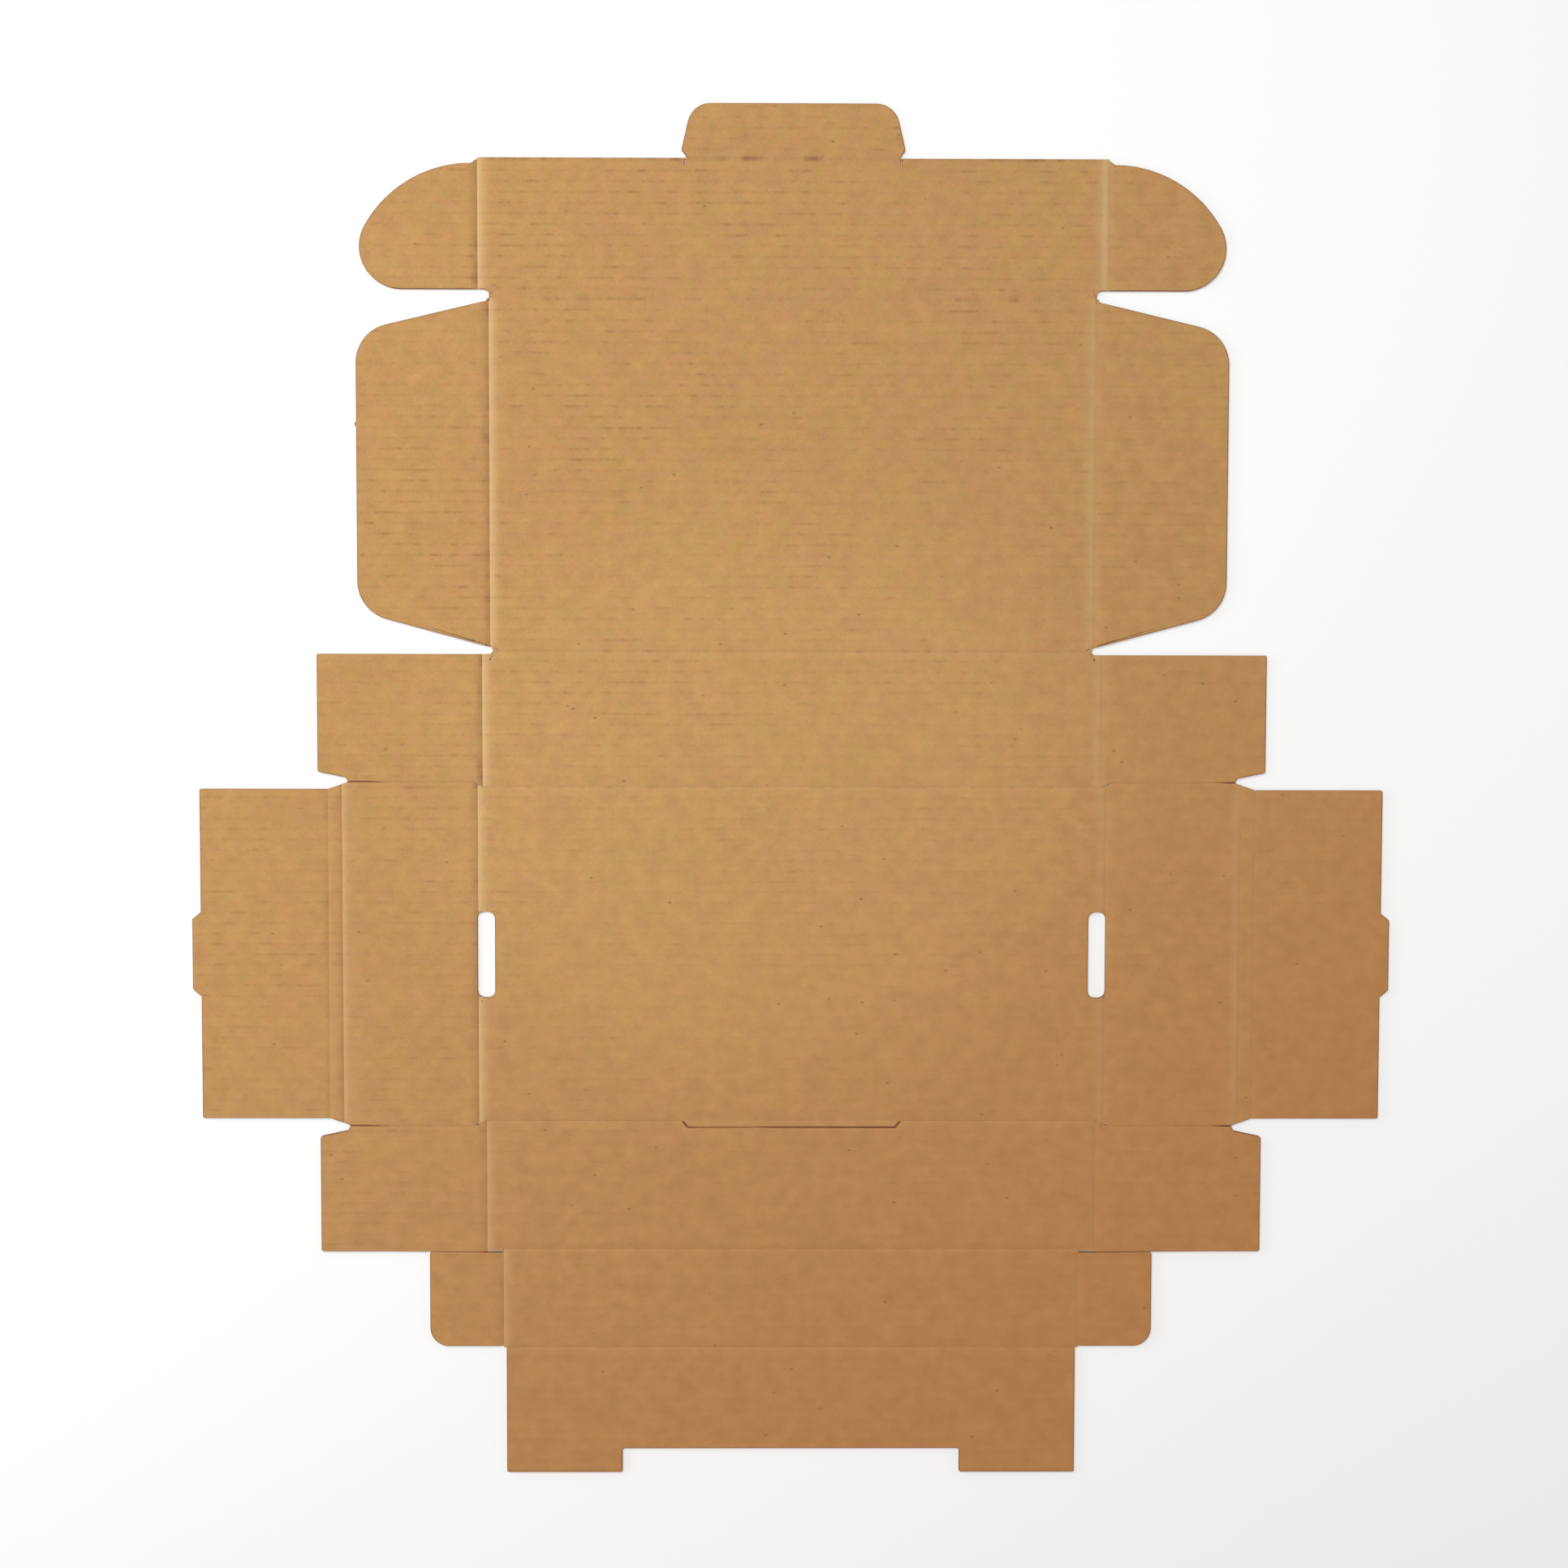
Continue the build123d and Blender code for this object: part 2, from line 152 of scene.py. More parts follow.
# Drift, partly painted light: over the whole sheet the marks and the mottle fade from the lid's end and the
# left side to the foot and the right side, as light raking from the upper left would show them. The foot and
# the right side turn redder and the middle is pale: partly the paper's own tint, partly painted shade and a
# painted pool of light.
mark_strength = 0.75
strength_across, strength_along = -1.5, 2.2
faintest, strongest = 0.2, 1.1
tint_slant = -0.65
foot_start, lid_start = -0.25, 0.03
foot_tint_and_shade, lid_tint_and_light = (1.0, 0.885, 0.87, 1), (1.0, 1.02, 1.03, 1)
middle_tint_and_light, rim_tint_and_shade = (1.068, 1.09, 1.105, 1), (0.989, 0.98, 0.972, 1)
middle_stretch, middle_place = (7.0, 8.4, 0.0), (-0.08, 0.0, 0.0)
middle_inner, middle_outer = 0.47, 1.0

drift, drift_in, drift_out = new_group(
    "sheet_drift",
    [("Place", "NodeSocketVector")],
    [("Strength", "NodeSocketFloat"), ("Tint", "NodeSocketColor")])
place = drift_in.outputs["Place"]
axes = paper_node(drift, "ShaderNodeSeparateXYZ", {0: place})
# strength of the marks, painted stronger where light rakes from the upper left
slope = reckon(drift, "MULTIPLY_ADD", axes.outputs["X"], strength_across, mark_strength)
slope = reckon(drift, "MULTIPLY_ADD", axes.outputs["Y"], strength_along, slope)
slope = reckon(drift, "MINIMUM", reckon(drift, "MAXIMUM", slope, faintest), strongest)
drift.links.new(slope, drift_out.inputs["Strength"])
# from the redder foot to the lid's end: partly the paper's tint, partly painted shade and light
along = reckon(drift, "MULTIPLY_ADD", axes.outputs["X"], tint_slant, axes.outputs["Y"])
along = ease(drift, along, foot_start, lid_start)
tint = blend_colours(drift, along, foot_tint_and_shade, lid_tint_and_light)
# a pale middle, partly a painted pool of light
middle_ends = {0: stretched(drift, place, middle_stretch), 1: middle_place}
off_middle = paper_node(drift, "ShaderNodeVectorMath", middle_ends, operation="DISTANCE")
outer = ease(drift, off_middle.outputs["Value"], middle_inner, middle_outer)
pale_middle_and_light = blend_colours(drift, outer, middle_tint_and_light, rim_tint_and_shade)
drift.links.new(blend_colours(drift, 1.0, tint, pale_middle_and_light, "MULTIPLY"), drift_out.inputs["Tint"])

# Kraft pulp: slow clouds of ochre and pink, finer cloudiness, fibres laid mostly along the
# web, which runs across the flutes, and a few dark shives. The height is for a bump.
slow_share, small_share = 0.35, 0.65
along_share, across_share = 0.6, 0.4
mottle_contrast, mottle_height = 0.3, 0.5
grain_colours = (0.55, 0.7, 1.5)
shive_rarity = 0.66

pulp, pulp_in, pulp_out = new_group(
    "kraft_pulp",
    [("Place", "NodeSocketVector"), ("Fibre", "NodeSocketFloat"),
     ("Shives", "NodeSocketFloat")],
    [("Cloud", "NodeSocketFloat"), ("Tone", "NodeSocketColor"),
     ("Shive", "NodeSocketFloat"), ("Height", "NodeSocketFloat")])
place = pulp_in.outputs["Place"]
fibre = pulp_in.outputs["Fibre"]
slow = noise(pulp, stretched(pulp, place, (1.0, 0.6, 1.0)), 30.0, 1.0, 0.45)
small = noise(pulp, stretched(pulp, place, (1.0, 1.7, 1.0)), 120.0)
clouds = reckon(pulp, "ADD", reckon(pulp, "MULTIPLY", slow, slow_share),
                reckon(pulp, "MULTIPLY", small, small_share))
pulp.links.new(ease(pulp, clouds, 0.36, 0.64), pulp_out.inputs["Cloud"])
mottle = noise(pulp, place, 210.0)
fibres = noise(pulp, stretched(pulp, place, (2600.0, 700.0, 2600.0)), 1.0, rough=0.6)
cross = noise(pulp, stretched(pulp, place, (900.0, 3000.0, 3000.0)), 1.0, rough=0.6)
fibre_mix = reckon(pulp, "ADD", reckon(pulp, "MULTIPLY", fibres, along_share),
                   reckon(pulp, "MULTIPLY", cross, across_share))
fibre_tone = reckon(pulp, "MULTIPLY", from_middle(pulp, fibre_mix), fibre)
mottle_tone = reckon(pulp, "MULTIPLY", from_middle(pulp, mottle), mottle_contrast)
tone = reckon(pulp, "ADD", 1.0, reckon(pulp, "ADD", fibre_tone, mottle_tone))
grain = noise(pulp, stretched(pulp, place, (1.0, 1.5, 1.0)), 420.0, 3.0, 0.65, "Color")
grain = reckon_vector(pulp, "SUBTRACT", grain, (0.5, 0.5, 0.5))
grain = scale_vector(pulp, reckon_vector(pulp, "MULTIPLY", grain, grain_colours), fibre)
grain = reckon_vector(pulp, "ADD", grain, (1.0, 1.0, 1.0))
pulp.links.new(scale_vector(pulp, grain, tone), pulp_out.inputs["Tone"])
speck_inputs = {"Vector": stretched(pulp, place, (1.0, 1.6, 1.0)), "Scale": 170.0}
specks = paper_node(pulp, "ShaderNodeTexVoronoi", speck_inputs)
rare = noise(pulp, specks.outputs["Position"], 900.0, 0.0)
rare = reckon(pulp, "GREATER_THAN", rare, shive_rarity)
near = inverse(pulp, ease(pulp, specks.outputs["Distance"], 0.04, 0.15))
shive = reckon(pulp, "MULTIPLY", reckon(pulp, "MULTIPLY", rare, near),
               pulp_in.outputs["Shives"])
pulp.links.new(shive, pulp_out.inputs["Shive"])
height = reckon(pulp, "ADD", fibre_mix, reckon(pulp, "MULTIPLY", mottle, mottle_height))
pulp.links.new(height, pulp_out.inputs["Height"])

# Flute lines: a faint dark line at each wave tip, broken into dashes a few millimetres long,
# darker on some waves than on others: partly glue showing through the liner, partly painted shade of the
# washboard ridges.
line_waver = 0.12
dashes_to_metre = 240.0
wave_apart, wave_seed = 7.31, 3.7
line_always = 0.08
region_always = 0.5

flutes, flutes_in, flutes_out = new_group(
    "flute_lines",
    [("Place", "NodeSocketVector"), ("Strength", "NodeSocketFloat")],
    [("Dash", "NodeSocketFloat"), ("Runs", "NodeSocketFloat")])
place = flutes_in.outputs["Place"]
axes = paper_node(flutes, "ShaderNodeSeparateXYZ", {0: place})
waver = from_middle(flutes, noise(flutes, place, 60.0, 1.0))
waver = reckon(flutes, "MULTIPLY", waver, line_waver)
waves = reckon(flutes, "DIVIDE", axes.outputs["Y"], flute_pitch)
waves = reckon(flutes, "ADD", waves, waver)
wave = reckon(flutes, "ROUND", waves)
off_line = reckon(flutes, "ABSOLUTE", reckon(flutes, "SUBTRACT", waves, wave))
line = inverse(flutes, ease(flutes, off_line, 0.04, 0.2))
row_inputs = {"X": reckon(flutes, "MULTIPLY", axes.outputs["X"], dashes_to_metre),
              "Y": reckon(flutes, "MULTIPLY", wave, wave_apart), "Z": wave_seed}
row = paper_node(flutes, "ShaderNodeCombineXYZ", row_inputs).outputs[0]
runs = ease(flutes, noise(flutes, row, 1.0, 3.0, 0.6), 0.45, 0.77)
region = ease(flutes, noise(flutes, place, 20.0, 1.0), 0.38, 0.62)
region = reckon(flutes, "MULTIPLY", region, 1 - region_always)
region = reckon(flutes, "ADD", region_always, region)
dash = reckon(flutes, "MULTIPLY_ADD", runs, 1 - line_always, line_always)
dash = reckon(flutes, "MULTIPLY", reckon(flutes, "MULTIPLY", dash, line), region)
dash = reckon(flutes, "MULTIPLY", dash, flutes_in.outputs["Strength"])
flutes.links.new(dash, flutes_out.inputs["Dash"])
flutes.links.new(runs, flutes_out.inputs["Runs"])

# The tones that marks turn the paper to, and how much of it: glue under the liner, with painted shade of the
# washboard; cracked paper, with painted shade on creases' outer slopes; dark shives; a painted highlight on
# the creases' slopes that face the lamps; and paper crushed by a knife, with painted shade where a slit
# stays open.
glue_and_shade_tone = (0.2, 0.075, 0.03, 1)
crack_shade_tone = (0.17, 0.05, 0.025, 1)
shive_tone, shive_share = (0.16, 0.07, 0.03, 1), 0.5
highlight_tone, highlight_share = (0.69, 0.49, 0.26, 1), 0.6
cut_and_gap_shade_tone, cut_and_gap_shade_share = (0.2, 0.07, 0.03, 1), 0.8
cloud_contrast = 0.75
dash_fading = 1.5
crack_shade_always = 0.15


def mark_from(tree, name):
    # a mark that is stored in the mesh, vertex by vertex
    return paper_node(tree, "ShaderNodeAttribute", attribute_name=name).outputs["Fac"]


def paper_finish(name, ochre, pink, fibre, shives, dashes, roughness, relief):
    # one paper of the board: pulp colours, flute lines if they show, and its marks
    finish = bpy.data.materials.new(name)
    finish.use_nodes = True
    tree = finish.node_tree
    shader = tree.nodes["Principled BSDF"]
    place = paper_node(tree, "ShaderNodeTexCoord").outputs["Object"]
    drift_node = paper_node(tree, "ShaderNodeGroup", node_tree=drift)
    tree.links.new(place, drift_node.inputs["Place"])
    strength = drift_node.outputs["Strength"]
    pulp_node = paper_node(tree, "ShaderNodeGroup", node_tree=pulp)
    tree.links.new(place, pulp_node.inputs["Place"])
    tree.links.new(reckon(tree, "MULTIPLY", strength, fibre), pulp_node.inputs["Fibre"])
    pulp_node.inputs["Shives"].default_value = shives
    cloud = from_middle(tree, pulp_node.outputs["Cloud"])
    cloud = reckon(tree, "MULTIPLY", cloud, strength)
    cloud = reckon(tree, "MULTIPLY_ADD", cloud, cloud_contrast, 0.5)
    colour = blend_colours(tree, cloud, ochre + (1,), pink + (1,))
    # the sheet's tint from the lid to the foot: partly painted light and shade
    colour = blend_colours(tree, 1.0, colour, drift_node.outputs["Tint"], "MULTIPLY")
    colour = blend_colours(tree, 1.0, colour, pulp_node.outputs["Tone"], "MULTIPLY")
    if dashes:
        flute_node = paper_node(tree, "ShaderNodeGroup", node_tree=flutes)
        tree.links.new(place, flute_node.inputs["Place"])
        # flute lines fade with the strength, painted as light raking from the upper left would show them
        fading = reckon(tree, "MULTIPLY", reckon(tree, "POWER", strength, dash_fading), dashes)
        tree.links.new(fading, flute_node.inputs["Strength"])
        # flute lines: partly glue showing through, partly painted shade of the washboard
        colour = blend_colours(tree, flute_node.outputs["Dash"], colour, glue_and_shade_tone)
        broken = reckon(tree, "MULTIPLY", flute_node.outputs["Runs"], 1 - crack_shade_always)
        broken = reckon(tree, "ADD", crack_shade_always, broken)
        # cracked paper at the creases' bottoms, and painted shade down the outer slopes of creases across
        # the flutes
        crack = reckon(tree, "MULTIPLY", mark_from(tree, "scuff"), broken)
        colour = blend_colours(tree, crack, colour, crack_shade_tone)
    shive = reckon(tree, "MULTIPLY", pulp_node.outputs["Shive"], shive_share)
    colour = blend_colours(tree, shive, colour, shive_tone)
    # a painted highlight on each crease's slope that faces the lamps
    highlight = reckon(tree, "MULTIPLY", mark_from(tree, "polish"), highlight_share)
    colour = blend_colours(tree, highlight, colour, highlight_tone)
    # the cut edges' own dark colour, and painted shade in the slits that stay open
    cut = reckon(tree, "MULTIPLY", mark_from(tree, "knife"), cut_and_gap_shade_share)
    colour = blend_colours(tree, cut, colour, cut_and_gap_shade_tone)
    tree.links.new(colour, shader.inputs["Base Color"])
    shader.inputs["Roughness"].default_value = roughness
    shader.inputs["Specular IOR Level"].default_value = 0.25
    bump_inputs = {"Strength": 1.0, "Distance": relief, "Height": pulp_node.outputs["Height"]}
    bump = paper_node(tree, "ShaderNodeBump", bump_inputs)
    tree.links.new(bump.outputs[0], shader.inputs["Normal"])
    return finish


kraft_inside = paper_finish(
    "kraft_inside", ochre=(0.458, 0.262, 0.089), pink=(0.476, 0.242, 0.094),
    fibre=0.4, shives=1.0, dashes=0.42, roughness=0.78, relief=0.00003)
kraft_outside = paper_finish(
    "kraft_outside", ochre=(0.45, 0.257, 0.089), pink=(0.468, 0.238, 0.093),
    fibre=0.3, shives=1.0, dashes=0.3, roughness=0.72, relief=0.00003)
kraft_edge = paper_finish(
    "kraft_edge", ochre=(0.34, 0.17, 0.066), pink=(0.37, 0.165, 0.07),
    fibre=0.5, shives=0.3, dashes=0.0, roughness=0.9, relief=0.00006)
kraft_medium = paper_finish(
    "kraft_medium", ochre=(0.36, 0.205, 0.085), pink=(0.38, 0.195, 0.085),
    fibre=0.35, shives=1.0, dashes=0.0, roughness=0.85, relief=0.00004)
kraft_finishes = [kraft_inside, kraft_edge, kraft_medium, kraft_outside]
inside_slot, edge_slot, medium_slot, outside_slot = range(4)


# Floor of the box, the middle of the blank. Every panel is made the same way: the knives of
# the die cut its outline and crush the board a little, and the creasing rules press grooves
# into the inside face, where the flutes are squeezed flat.
board_thick = 0.0015
liner_thick = 0.0002
medium_thick = 0.00018
rows_per_flute = 8
rib_sag = 0.00003
crease_depth = board_thick / 2
crease_reach = 0.003
narrow_creases = {"roll_fold": 0.002, "inner_wall_fold": 0.002, "lock_tab_fold": 0.0022}
crease_stations = (0.12, 0.3, 0.5, 0.75, 1.0, 1.12, 1.5)
strip_share = 0.75
strip_stations = (0.17, 0.34, 0.5, 0.66, 0.83)
strip_bend = 0.6
knife_rims = (0.00045, 0.0002)
knife_crush = 0.00012
outside_crush = 0.5
same_place = 0.000001
near_line = 0.000005
facing_down = -0.9
level_enough = 0.3

# How each crease came out of the press: the depth it kept, how strong its painted highlight is at the
# left and at the right of the blank, and how far the paper cracked, with painted shade down the outer slope.
press_marks = {
    "lid_front_fold": (0.5, 0.12, 0.12, 0.4), "lock_tab_fold": (0.35, 0.12, 0.12, 0.9),
    "lid_fold": (0.5, 0.12, 0.12, 0.3), "back_wall_fold": (0.5, 0.12, 0.12, 0.2),
    "front_wall_fold": (0.35, 0.08, 0.08, 0.0), "shelf_fold": (0.3, 0.0, 0.0, 0.0),
    "leg_fold": (0.35, 0.05, 0.05, 0.0), "ear_fold": (1.0, 1.0, 0.9, 0.45),
    "lid_flap_fold": (1.0, 0.95, 0.5, 0.4), "back_flap_fold": (1.0, 0.95, 0.4, 0.45),
    "side_wall_fold": (0.9, 0.85, 0.28, 0.15), "front_flap_fold": (0.7, 0.45, 0.1, 0.05),
    "wing_fold": (0.55, 0.4, 0.1, 0.0), "roll_fold": (0.55, 0.5, 0.3, 0.1),
    "inner_wall_fold": (0.3, 0.1, 0.1, 0.2)}
# right-hand creases: how much shallower they are, and how far off the line their painted highlight peaks;
# then the painted highlight's width and fall, and the widths of the cracks with painted shade
right_depth = 0.55
right_peak = 0.0012
highlight_width = 0.0055
highlight_fall = 2.5
crack_shade_widths = (0.0025, 0.0009)


def crease_of(joint):
    # a joint's crease: its axis (0 for x, 1 for y), line, half width and marks
    axis = 1 if abs(joint["axis"][0]) > 0.5 else 0
    line = joint["pos_m"][axis]
    kind = joint["name"].replace("left_", "").replace("right_", "")
    deep, left_highlight, right_highlight, crack = press_marks[kind]
    on_right = axis == 0 and line > 0
    return {"axis": axis, "line": line, "reach": narrow_creases.get(kind, crease_reach),
            "deep": right_depth * deep if on_right else deep,
            "polish": right_highlight if on_right else left_highlight,
            "peak": right_peak if on_right else 0.0,
            "crack": 0.0 if on_right else crack}


def creases_of(node):
    # the creases at a panel's edges
    return [crease_of(joint) for joint in frame["joints"]
            if node in (joint["parent"], joint["child"])]


def on_crease(crease, *places):
    return all(abs(place[crease["axis"]] - crease["line"]) < near_line for place in places)


def groove_share(off, reach):
    # depth of a groove at a distance from its line, as a share of the full depth; its two
    # sides are arcs that meet at the line
    bend = (reach ** 2 + crease_depth ** 2) / (2 * crease_depth)
    return (bend - math.sqrt(bend ** 2 - (reach - off) ** 2)) / crease_depth


def painted_highlight_at(place, middle, creases):
    # a painted highlight: the paper is painted pale on the side of a crease towards the middle of
    # the blank, where its slope faces the lamps, and hardly changes where a crease follows the flutes
    shine = 0.0
    for crease in creases:
        axis, line, peak = crease["axis"], crease["line"], crease["peak"]
        width = highlight_width if axis == 0 else crease["reach"]
        off = abs(place[axis] - line)
        if off < width and (axis == 1 or abs(middle[0]) < abs(line)):
            rise = min(1.0, 0.5 + 0.5 * off / peak) if peak else 1.0
            fall = (1 - max(0.0, off - peak) / (width - peak)) ** highlight_fall
            shine = max(shine, crease["polish"] * rise * fall)
    return shine


def crack_shade_at(place, middle, creases):
    # the paper cracks along a crease's bottom, and where a crease crosses the flutes the mark
    # runs on down its outer slope, turned from the lamps, as painted shade
    crack = 0.0
    for crease in creases:
        axis, line = crease["axis"], crease["line"]
        closeness = 1 - abs(place[axis] - line) / crack_shade_widths[axis]
        if closeness > 0 and (axis == 1 or abs(middle[0]) > abs(line)):
            crack = max(crack, crease["crack"] * closeness)
    return crack


# The knife slits. Their edges spring back until they touch, but the lock's slit and the
# outer ends of the corner slits stay a little open and dark. Each state is how far an edge
# moves towards the other, as a share of the slit, and how dark and crushed it stays: the cut edge's own
# colour, with painted shade added where a slit stays open.
slit_search = 0.0004
slit_lift = Vector((0, 0, 0.0003))
slit_marks = (-0.137, -0.13, -0.03, -0.012, -0.006, 0.136, 0.141)
slit_marks_below = 0.05
slit_open, slit_touching, slit_shut = (0.4, 1.5), (0.46, 0.9), (0.49, 0.2)
corner_slit_left, corner_slit_right = -0.136, 0.14
lock_slit_below, lock_slit_half = -0.1, 0.04
lock_touch_start, lock_touch_end = -0.03, -0.007
neighbour_trees = {}


def slit_state(x, y):
    if x < corner_slit_left or x > corner_slit_right:
        return slit_open
    if y < lock_slit_below and abs(x) < lock_slit_half:
        return slit_touching if lock_touch_start <= x <= lock_touch_end else slit_open
    return slit_shut


def neighbours_of(node):
    # all the other panels, to find where a cut edge faces one of them across a slit
    if node not in neighbour_trees:
        others = bmesh.new()
        for name, panel in frame["nodes"].items():
            if name != node:
                others.from_mesh(panel.data)
        neighbour_trees[node] = BVHTree.FromBMesh(others)
        others.free()
    return neighbour_trees[node]


def cut_all(shape, axis, value, **options):
    normal = [0, 0, 0]
    normal[axis] = options.pop("facing", 1)
    place = [0, 0, 0]
    place[axis] = value
    bmesh.ops.bisect_plane(shape, geom=shape.verts[:] + shape.edges[:] + shape.faces[:],
                           dist=same_place, plane_co=place, plane_no=normal, **options)


def cut_blank(node):
    # the panel's outline from its CAD underside as one flat face, with narrow rims inside
    # the outline, a row of edges for every eighth of a flute, and stations at the creases
    blank = bmesh.new()
    blank.from_mesh(frame["nodes"][node].data)
    bmesh.ops.remove_doubles(blank, verts=blank.verts, dist=same_place)
    above = [face for face in blank.faces if face.normal.z > facing_down]
    bmesh.ops.delete(blank, geom=above, context="FACES")
    bmesh.ops.dissolve_faces(blank, faces=blank.faces[:], use_verts=False)
    for width in knife_rims:
        largest = max(blank.faces, key=lambda face: face.calc_area())
        bmesh.ops.inset_region(blank, faces=[largest], thickness=width,
                               use_even_offset=True, use_boundary=True)
    low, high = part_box(node)
    step = flute_pitch / rows_per_flute
    for row in range(math.ceil(low.y / step), math.floor(high.y / step) + 1):
        cut_all(blank, 1, row * step)
    if high.y < slit_marks_below:
        for mark in slit_marks:
            if low.x < mark < high.x:
                cut_all(blank, 0, mark)
    creases = creases_of(node)
    for crease in creases:
        if crease["axis"] == 0:
            for share in crease_stations:
                cut_all(blank, 0, crease["line"] + share * crease["reach"])
                cut_all(blank, 0, crease["line"] - share * crease["reach"])
    mark_blank(node, blank, creases)
    return blank


def mark_blank(node, blank, creases):
    # stores at each vertex what the die did there, and draws the slits' edges together
    layers = blank.verts.layers.float
    marks = ("knife", "press", "polish", "scuff")
    knife, press, polish, scuff = [layers.new(name) for name in marks]
    for edge in blank.edges:
        start, end = edge.verts
        folded = any(on_crease(crease, start.co, end.co) for crease in creases)
        if edge.is_boundary and not folded:
            start[knife] = end[knife] = 1.0
    others = neighbours_of(node)
    middle = sum(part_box(node), Vector()) / 2
    for vert in blank.verts:
        # the painted highlight, and the cracks with painted shade, at the creases
        vert[polish] = painted_highlight_at(vert.co, middle, creases)
        vert[scuff] = crack_shade_at(vert.co, middle, creases)
        for crease in creases:
            off = abs(vert.co[crease["axis"]] - crease["line"])
            if off < crease["reach"]:
                pressed = crease["deep"] * groove_share(off, crease["reach"])
                vert[press] = max(vert[press], pressed)
        if vert[knife]:
            near = others.find_nearest(vert.co + slit_lift, slit_search)[0]
            if near:
                # an open slit's edges are darker: painted shade in the gap
                closing, slit_shade_and_cut = slit_state(vert.co.x, vert.co.y)
                vert.co.xy += closing * (near.xy - vert.co.xy)
                vert[knife] = slit_shade_and_cut
            if any(on_crease(crease, vert.co) for crease in creases):
                vert[knife] = 0.0


cut_blanks = {}


def blank_of(node):
    # a fresh copy of a panel's cut blank, which is worked out once
    if node not in cut_blanks:
        cut_blanks[node] = bpy.data.meshes.new(node + "_blank")
        first = cut_blank(node)
        first.to_mesh(cut_blanks[node])
        first.free()
    blank = bmesh.new()
    blank.from_mesh(cut_blanks[node])
    return blank


def flute_turn(vert):
    return math.tau * vert.co.y / flute_pitch


def inside_face(vert, knife, press):
    # height of the inside face: it sags between the waves and is crushed at the knife cuts
    sag = rib_sag * (0.5 - 0.5 * math.cos(flute_turn(vert)))
    sunk = (sag + knife_crush * vert[knife]) * (1 - vert[press])
    return board_thick - crease_depth * vert[press] - sunk


def inside_back(vert, knife, press):
    return inside_face(vert, knife, press) - liner_thick


def outside_face(vert, knife, press):
    sag = rib_sag * (0.5 + 0.5 * math.cos(flute_turn(vert)))
    return (sag + outside_crush * knife_crush * vert[knife]) * (1 - vert[press])


def outside_back(vert, knife, press):
    return outside_face(vert, knife, press) + liner_thick


def wave_face(vert, knife, press, side):
    # height of the medium's upper or lower face, squeezed wherever the liners come together
    high = inside_back(vert, knife, press)
    low = outside_back(vert, knife, press)
    swing = max(0.0, (high - low - medium_thick) / 2)
    slope = swing * math.tau / flute_pitch * math.sin(flute_turn(vert))
    middle = (high + low) / 2 + swing * math.cos(flute_turn(vert))
    return middle + side * medium_thick / 2 * math.hypot(1, slope)


def wave_under(vert, knife, press):
    return wave_face(vert, knife, press, -1)


def wave_over(vert, knife, press):
    return wave_face(vert, knife, press, 1)


def lay_sheet(blank, under, over, face_slot, rim_slot):
    # gives a flat cut sheet its thickness, from the heights of its lower and upper faces
    knife = blank.verts.layers.float["knife"]
    press = blank.verts.layers.float["press"]
    lower = blank.verts[:]
    raised = bmesh.ops.extrude_face_region(blank, geom=blank.faces[:])["geom"]
    upper = [item for item in raised if isinstance(item, bmesh.types.BMVert)]
    for vert in lower:
        vert.co.z = under(vert, knife, press)
    for vert in upper:
        vert.co.z = over(vert, knife, press)
    bmesh.ops.recalc_face_normals(blank, faces=blank.faces[:])
    for face in blank.faces:
        face.smooth = abs(face.normal.z) > level_enough
        face.material_index = face_slot if face.smooth else rim_slot
    for edge in blank.edges:
        if len(edge.link_faces) == 2:
            edge.smooth = edge.link_faces[0].smooth == edge.link_faces[1].smooth


def add_sheet(whole, sheet):
    # adds one sheet to a shape, and lets go of it
    passing = bpy.data.meshes.new("sheet")
    sheet.to_mesh(passing)
    sheet.free()
    whole.from_mesh(passing)
    bpy.data.meshes.remove(passing)


def show_board(name, shape):
    # puts a finished shape of board into the scene
    mesh = bpy.data.meshes.new(name)
    shape.to_mesh(mesh)
    shape.free()
    for finish in kraft_finishes:
        mesh.materials.append(finish)
    piece = bpy.data.objects.new(name, mesh)
    bpy.context.scene.collection.objects.link(piece)
    return piece


def board_panel(node):
    # one panel of board from its three papers, which stands for the CAD node of that name.
    # Its outside liner stops short of the creases, where the fold's own strip carries on.
    middle = sum(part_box(node), Vector()) / 2
    board = bmesh.new()
    outside = blank_of(node)
    for crease in creases_of(node):
        axis, line = crease["axis"], crease["line"]
        side = 1 if middle[axis] > line else -1
        edge = line + side * strip_share * crease["reach"]
        cut_all(outside, axis, edge, facing=-side, clear_outer=True)
    lay_sheet(outside, outside_face, outside_back, outside_slot, edge_slot)
    add_sheet(board, outside)
    medium = blank_of(node)
    lay_sheet(medium, wave_under, wave_over, medium_slot, medium_slot)
    add_sheet(board, medium)
    inside = blank_of(node)
    lay_sheet(inside, inside_back, inside_face, inside_slot, edge_slot)
    add_sheet(board, inside)
    piece = show_board(node + "_board", board)
    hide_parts(node)
    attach(piece, node)
    return piece


board_panel("base_panel")


